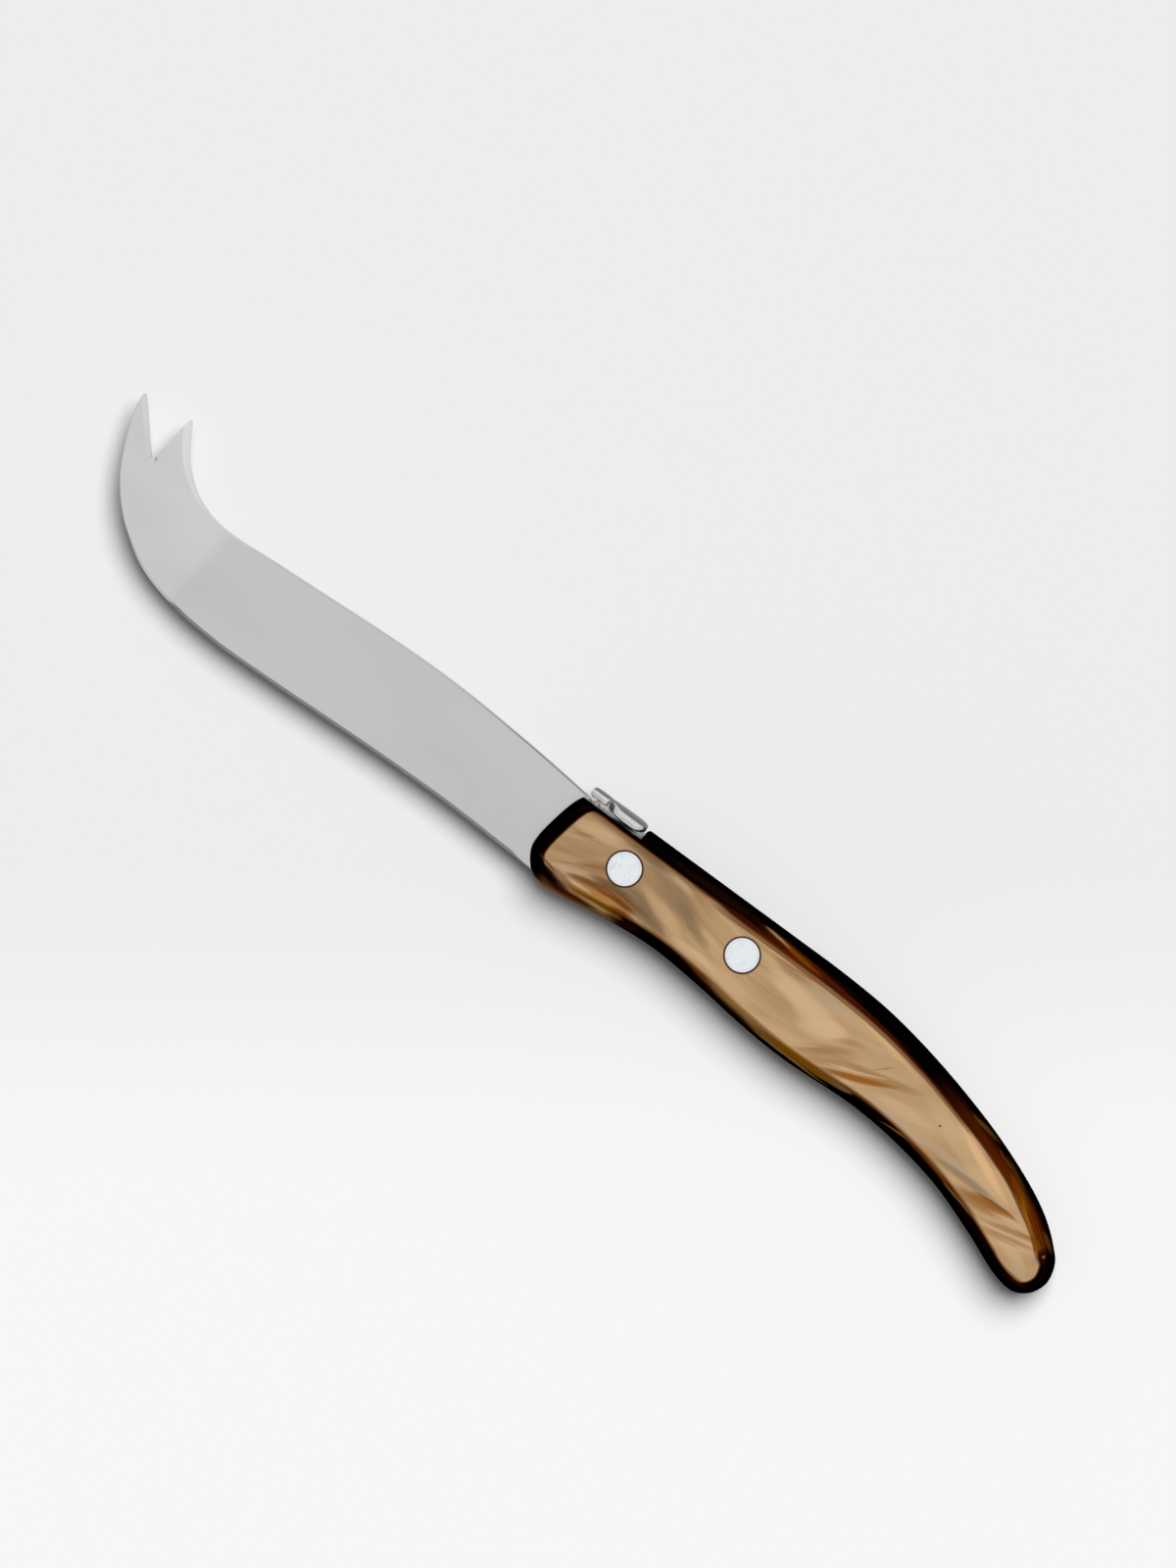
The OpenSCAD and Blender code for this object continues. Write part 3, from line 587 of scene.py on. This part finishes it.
def acrylic():
    made, g, shader = material("pearl_acrylic", 0.0, POLISH[0], ior=1.49, specular=0.0)
    place = g.place_mm()
    f = sheet_fields(g, place)
    colour = edge_haze(g, f, face_colour(g, f))

    # the core comes up unevenly below the face, and stays back in the pockets
    steep = g.add(1.0, g.times(g.rise(f.x, *STEEP_X), STEEPER))
    uneven = g.times(g.minus(f.thread, 0.5), g.add(UNEVEN_DEPTH, g.times(f.depth, UNEVEN_SHARE)))
    deep = g.add(g.times(f.depth, steep), uneven)
    pocket = 0.0
    for row in POCKETS:
        pocket = g.math("MAXIMUM", pocket, mask_of(g, f.near_x, f.near_y, row))
    bare = g.rise(pocket, 0.35, 0.0)
    colour = g.wash(colour, BROWN, g.rise(deep, *BROWN_DEPTH), bare)
    colour = g.wash(colour, AMBER, g.rise(f.depth, *AMBER_DEPTH), 0.65)
    colour = edge_fringe(g, f, colour)
    core = core_colour(g, f)
    colour = g.wash(colour, core, g.rise(deep, *CORE_DEPTH), bare)
    colour = paint(g, colour, f.near_x, f.near_y, EDGE_STREAKS, g.rise(f.depth, *EDGE_STREAK_DEPTH))
    colour = g.wash(colour, CORE, g.rise(f.depth, *MIDDLE_DEPTH))
    g.feed(shader.inputs["Base Color"], colour)

    # polishing leaves the faces very slightly uneven
    g.feed(shader.inputs["Roughness"], g.add(POLISH[0], g.times(f.broad, POLISH[1])))
    bump(g, shader, g.noise(place, POLISH_CELLS, detail=2.0), POLISH_LIFT, 0.5)
    return made


# Metals

STEEL = srgb(199, 199, 197)
STEEL_DULL = srgb(184, 184, 183)
STEEL_GRAIN_AND_HOOK_SHEEN = srgb(208, 208, 206)
STEEL_BEVEL_HIGHLIGHT = srgb(224, 224, 223)
STEEL_SPINE_SHADE = srgb(118, 113, 108)
BRAZE_DARK = srgb(112, 66, 54)
BRAZE_OLIVE = srgb(150, 136, 104)
BRAZE_PALE = srgb(226, 221, 210)
LOBE_SHADE = srgb(24, 19, 17)
RIVET_METAL = srgb(235, 239, 242)
RIVET_SMUDGE_AND_SHADE = srgb(208, 214, 219)
SIDE_METAL = srgb(214, 214, 215)
CROWN_DULL_AND_SHADE = srgb(122, 122, 124)
SHADE_METAL = srgb(58, 58, 60)

# satin lines: cells per mm along x, y and z when they run along x or along y
SATIN_CELLS = {"x": (0.22, 9.0, 9.0), "y": (9.0, 0.22, 9.0)}
# roughness, how much the lines vary it, and how high they stand in mm
BLADE_SATIN = (0.34, 0.10, 0.0015)
RIVET_SATIN = (0.38, 0.12, 0.001)
ORNAMENT_SATIN = (0.30, 0.14, 0.001)

HOOK_X = (-104.4, -107.6)              # where the main grind passes into the hook's, in mm
HOOK_SLANT = -0.08
BEVEL_X = (-96.0, -104.0)
BEVEL_FACING = (0.995, 0.965)          # how far up a bevel's normal points: less than the flat face's
RIM_FACING = (0.30, 0.60)              # and more than the thin edge's
BEVEL_SIDE = (-0.10, 0.10)             # only the bevels on the spine's side get the painted highlight
SPINE_SHADE_X = (-62.0, -36.0)
SPINE_SHADE_FACING = (0.35, 0.60)
CROWN_FACING = (0.25, 0.60)

SMUDGE_CELLS = (0.9, 0.35)
RIM_INNER = (0.80, 0.52)               # a grey ring of painted shade inside a rivet's rim, in mm from the rim
RIM_OUTER = (0.26, 0.50)

BLOTCH_CELLS = 1.7
BRAZE_CELLS = 1.2
BRAZE_UNEVEN = 0.8
# strokes as on the handle: two without a tone, the second of them for painted shade under the ornament's
# rear lobe, then painted reflections and shade on the ornament
BRAZE = (-23.9, 6.15, 0, 2.1, 0.95, 0.0, 1.0)
UNDER_LOBE = (-17.6, 5.75, 3, 3.2, 0.42, 0.0, 0.95)
ORNAMENT_SHADE_STROKES = (
    (CROWN_DULL_AND_SHADE, -24.3, 7.05, 0, 2.2, 0.50, 0.0, 0.45),
    (SHADE_METAL, -21.4, 7.15, -52, 1.5, 0.75, 0.0, 0.95),
    (SHADE_METAL, -17.6, 7.95, 0, 3.6, 0.16, 0.0, 0.70),
    (CROWN_DULL_AND_SHADE, -17.4, 6.75, 0, 2.8, 0.22, 0.0, 0.45),
    (SHADE_METAL, -14.3, 7.7, -40, 1.0, 0.60, 0.0, 0.90),
)


def satin(g, shader, place, grain_along, finish):
    """Fine parallel lines of a satin finish, which vary the roughness and stand slightly proud."""
    roughness, swing, lift = finish
    grain = g.grained(*g.split(place), SATIN_CELLS[grain_along], detail=3.0, rough=0.6)
    g.feed(shader.inputs["Roughness"], g.add(roughness - swing / 2, g.times(grain, swing)))
    bump(g, shader, grain, lift * MM, 0.5)
    return grain


def braze(g, colour, place, x, y):
    """Brazing blotches beside the ornament's foot."""
    blotch = g.noise(place, BLOTCH_CELLS, detail=3.0, rough=0.65)
    other = g.noise(g.join(y, x, 4.0), BRAZE_CELLS, detail=2.0)
    tone = g.mix(g.rise(other, 0.42, 0.60), BRAZE_PALE, BRAZE_OLIVE)
    tone = g.mix(g.rise(blotch, 0.52, 0.66), tone, BRAZE_DARK)
    edge = g.add(y, g.times(g.minus(other, 0.5), BRAZE_UNEVEN))
    return g.wash(colour, tone, mask_of(g, x, edge, BRAZE), 0.9)


def blade_steel():
    made, g, shader = material("satin_steel", 1.0, BLADE_SATIN[0])
    place = g.place_mm()
    x, y, z = g.split(place)
    grain = satin(g, shader, place, "x", BLADE_SATIN)
    slanted = g.add(x, g.times(y, HOOK_SLANT))
    # painted light: the hook is lighter, as its differently angled grind catches more light; the same pale
    # tone also lightens the satin lines a little
    colour = g.mix(g.rise(slanted, *HOOK_X), STEEL, STEEL_GRAIN_AND_HOOK_SHEEN)
    colour = g.wash(colour, STEEL_GRAIN_AND_HOOK_SHEEN, g.rise(grain, 0.35, 0.75), 0.10)
    _, upward, facing = g.split(g.node("ShaderNodeTexCoord").outputs["Normal"])
    slope = g.math("ABSOLUTE", facing)
    # painted highlight: bevels that face the spine's side are lightened, for the light they would catch
    colour = g.wash(colour, STEEL_BEVEL_HIGHLIGHT, g.rise(slope, *BEVEL_FACING), g.rise(slope, *RIM_FACING),
                    g.rise(upward, *BEVEL_SIDE), g.rise(x, *BEVEL_X))
    # painted shade: the spine's side faces are darkened near the handle, for the darker light they catch
    colour = g.wash(colour, STEEL_SPINE_SHADE, g.rise(upward, *SPINE_SHADE_FACING), g.rise(x, *SPINE_SHADE_X, 0.75))
    drift = g.noise(g.join(g.times(x, 0.03), g.times(y, 0.06), z), 1.0, detail=2.0)
    colour = g.wash(colour, STEEL_DULL, g.rise(drift, 0.4, 0.7), 0.25)
    colour = braze(g, colour, place, x, y)
    # painted shade under the ornament's rear lobe, where its overhang darkens the tang
    colour = g.wash(colour, LOBE_SHADE, mask_of(g, x, y, UNDER_LOBE))
    g.feed(shader.inputs["Base Color"], colour)
    return made


def rivet_metal():
    made, g, shader = material("rivet_satin", 1.0, RIVET_SATIN[0])
    place = g.place_mm()
    satin(g, shader, place, "y", RIVET_SATIN)
    x, y, _ = g.split(place)
    worn = g.join(g.times(x, SMUDGE_CELLS[0]), g.times(y, SMUDGE_CELLS[1]), 2.0)
    smudge = g.noise(worn, 1.0, detail=3.0, rough=0.6, warp=0.8)
    colour = g.wash(RIVET_METAL, RIVET_SMUDGE_AND_SHADE, g.rise(smudge, 0.50, 0.74), 0.75)
    for node in RIVET_NODES:
        away = g.away_mm(x, y, centre_mm(node))
        inner, outer = ([radius_mm(node) - inset for inset in insets] for insets in (RIM_INNER, RIM_OUTER))
        # painted shade: a grey ring inside the rim stands in for the shade of its bevel
        colour = g.wash(colour, RIVET_SMUDGE_AND_SHADE, g.rise(away, *inner), g.rise(away, *outer), 0.45)
    g.feed(shader.inputs["Base Color"], colour)
    return made


def ornament_steel():
    made, g, shader = material("polished_ornament", 1.0, ORNAMENT_SATIN[0])
    place = g.place_mm()
    grain = satin(g, shader, place, "y", ORNAMENT_SATIN)
    x, y, _ = g.split(place)
    _, upward, _ = g.split(g.node("ShaderNodeTexCoord").outputs["Normal"])
    colour = g.wash(SIDE_METAL, CROWN_DULL_AND_SHADE, g.rise(grain, 0.45, 0.75), 0.25)
    # painted reflections and shade on the ornament's lobes and waist
    colour = paint(g, colour, x, y, ORNAMENT_SHADE_STROKES)
    # darker crown: partly its dull filed finish, partly painted shade on the faces that turn toward the
    # spine's side
    colour = g.mix(g.rise(upward, *CROWN_FACING), colour, CROWN_DULL_AND_SHADE)
    colour = braze(g, colour, place, x, y)
    g.feed(shader.inputs["Base Color"], colour)
    return made


# Smooth shading

WELD = 0.000002
HANDLE_CREASE = math.radians(19)
BLADE_CREASE = math.radians(9)
METAL_CREASE = math.radians(24)
FACE_WEIGHT = 80                       # how strongly the broad faces lead the normals round them


def soften(node, angle):
    """Welds the facets of a CAD node and shades it smoothly, with creases above this angle kept."""
    group = bpy.data.node_groups.new("shade_" + node, "GeometryNodeTree")
    group.interface.new_socket("Geometry", in_out="INPUT", socket_type="NodeSocketGeometry")
    group.interface.new_socket("Geometry", in_out="OUTPUT", socket_type="NodeSocketGeometry")
    g = Graph(group)
    weld = g.node("GeometryNodeMergeByDistance")
    weld.inputs["Distance"].default_value = WELD
    normals = g.node("GeometryNodeSetMeshNormal", mode="SHARPNESS")
    normals.inputs["Remove Custom"].default_value = True
    normals.inputs["Face Sharpness"].default_value = False
    turned = g.node("FunctionNodeCompare", data_type="FLOAT", operation="GREATER_THAN")
    turned.inputs["B"].default_value = angle
    g.feed(weld.inputs["Geometry"], g.node("NodeGroupInput").outputs[0])
    g.feed(turned.inputs["A"], g.node("GeometryNodeInputMeshEdgeAngle").outputs["Unsigned Angle"])
    g.feed(normals.inputs["Edge Sharpness"], turned.outputs[0])
    g.feed(normals.inputs["Mesh"], weld.outputs["Geometry"])
    g.feed(g.node("NodeGroupOutput").inputs[0], normals.outputs["Mesh"])
    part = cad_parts[node]
    part.modifiers.new("shade", "NODES").node_group = group
    weighted = part.modifiers.new("weighted", "WEIGHTED_NORMAL")
    weighted.keep_sharp = True
    weighted.weight = FACE_WEIGHT


FINISHES = {
    "handle": (acrylic(), HANDLE_CREASE),
    "blade": (blade_steel(), BLADE_CREASE),
    "spine_ornament": (ornament_steel(), METAL_CREASE),
}
RIVETS = rivet_metal()
for rivet in ("front_rivet_post", "front_rivet_cap", "rear_rivet_post", "rear_rivet_cap"):
    FINISHES[rivet] = (RIVETS, METAL_CREASE)
for node, (finish, crease) in FINISHES.items():
    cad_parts[node].material_slots[0].material = finish
    soften(node, crease)


# Floor, backdrop and light

FLOOR_SIZE = 8.0
FLOOR_FAR = srgb(237, 237, 237)
FLOOR_NEAR = srgb(247, 247, 247)
FLOOR_TURN = (-0.073, -0.014)          # where the floor's tone changes, up the picture from its centre
SKY_LEVEL = 0.16                       # the even light that fills the shadows
REFLECTED = 0.86                       # what polished metal sees of the pale studio to the sides
REFLECTED_OVERHEAD = 1.0
REFLECTED_DARK = 0.22                  # and of its darker side, low beyond the belly
OVERHEAD = (0.70, 0.90)
DARK_SIDE = (0.45, 0.85)
KEY_AIM = Vector((0.0, 0.58, 1.0))     # the large soft lamp stands on the spine's side
KEY_WIDTH = math.radians(40)
KEY_LEVEL = 3.05
FIBRE_CELLS = 900.0                    # cells per metre of the paper's fine grain
FIBRE_LIFT = 0.00002


def add_floor():
    half = FLOOR_SIZE / 2
    mesh = bpy.data.meshes.new("floor")
    corners = [(-half, -half, 0), (half, -half, 0), (half, half, 0), (-half, half, 0)]
    mesh.from_pydata(corners, [], [(0, 1, 2, 3)])
    floor = bpy.data.objects.new("floor", mesh)
    bpy.context.scene.collection.objects.link(floor)
    made, g, shader = material("floor_paper", 0.0, 0.9, specular=0.0)
    where = g.node("ShaderNodeTexCoord").outputs["Object"]
    dot = g.node("ShaderNodeVectorMath", operation="DOT_PRODUCT")
    g.feed(dot.inputs[0], where)
    flat_up = Vector((PICTURE_UP.x, PICTURE_UP.y, 0)).normalized()
    dot.inputs[1].default_value = flat_up
    up = g.minus(dot.outputs["Value"], PICTURE_CENTRE.dot(flat_up))
    fibre = g.noise(where, FIBRE_CELLS, detail=2.0)
    colour = g.mix(g.rise(up, FLOOR_TURN[1], FLOOR_TURN[0]), FLOOR_FAR, FLOOR_NEAR)
    g.feed(shader.inputs["Base Color"], colour)
    bump(g, shader, fibre, FIBRE_LIFT, 0.1)
    mesh.materials.append(made)


def add_world():
    """Even fill light, and for the camera and for reflections the pale studio round the floor."""
    world = bpy.data.worlds.new("studio")
    bpy.context.scene.world = world
    world.use_nodes = True
    g = Graph(world.node_tree)
    fill = world.node_tree.nodes["Background"]
    fill.inputs["Color"].default_value = (1, 1, 1, 1)
    fill.inputs["Strength"].default_value = SKY_LEVEL
    path = g.node("ShaderNodeLightPath").outputs
    _, across, height = g.split(g.node("ShaderNodeTexCoord").outputs["Generated"])
    level = g.add(REFLECTED, g.times(g.rise(height, *OVERHEAD), REFLECTED_OVERHEAD - REFLECTED),
                  g.times(g.rise(g.times(across, -1.0), *DARK_SIDE), REFLECTED_DARK - REFLECTED))
    mirrored = g.node("ShaderNodeBackground")
    mirrored.inputs["Color"].default_value = (1, 1, 1, 1)
    g.feed(mirrored.inputs["Strength"], level)
    seen = g.node("ShaderNodeBackground")
    seen.inputs["Color"].default_value = FLOOR_FAR

    def choose(factor, first, second):
        pick = g.node("ShaderNodeMixShader")
        for socket, value in zip(pick.inputs, (factor, first, second)):
            g.feed(socket, value)
        return pick.outputs[0]

    bounced = g.math("MAXIMUM", path["Is Glossy Ray"], path["Is Transmission Ray"])
    light = choose(bounced, fill.outputs[0], mirrored.outputs[0])
    g.feed(world.node_tree.nodes["World Output"].inputs["Surface"],
           choose(path["Is Camera Ray"], light, seen.outputs[0]))


def add_key():
    """One broad lamp, far enough away to light the whole floor evenly."""
    data = bpy.data.lights.new("key", "SUN")
    data.angle = KEY_WIDTH
    data.energy = KEY_LEVEL
    lamp = bpy.data.objects.new("key", data)
    lamp.rotation_mode = "QUATERNION"
    lamp.rotation_quaternion = KEY_AIM.to_track_quat("Z", "Y")
    lamp.visible_glossy = False
    bpy.context.scene.collection.objects.link(lamp)


add_floor()
add_world()
add_key()
bpy.context.scene.view_settings.view_transform = "Standard"
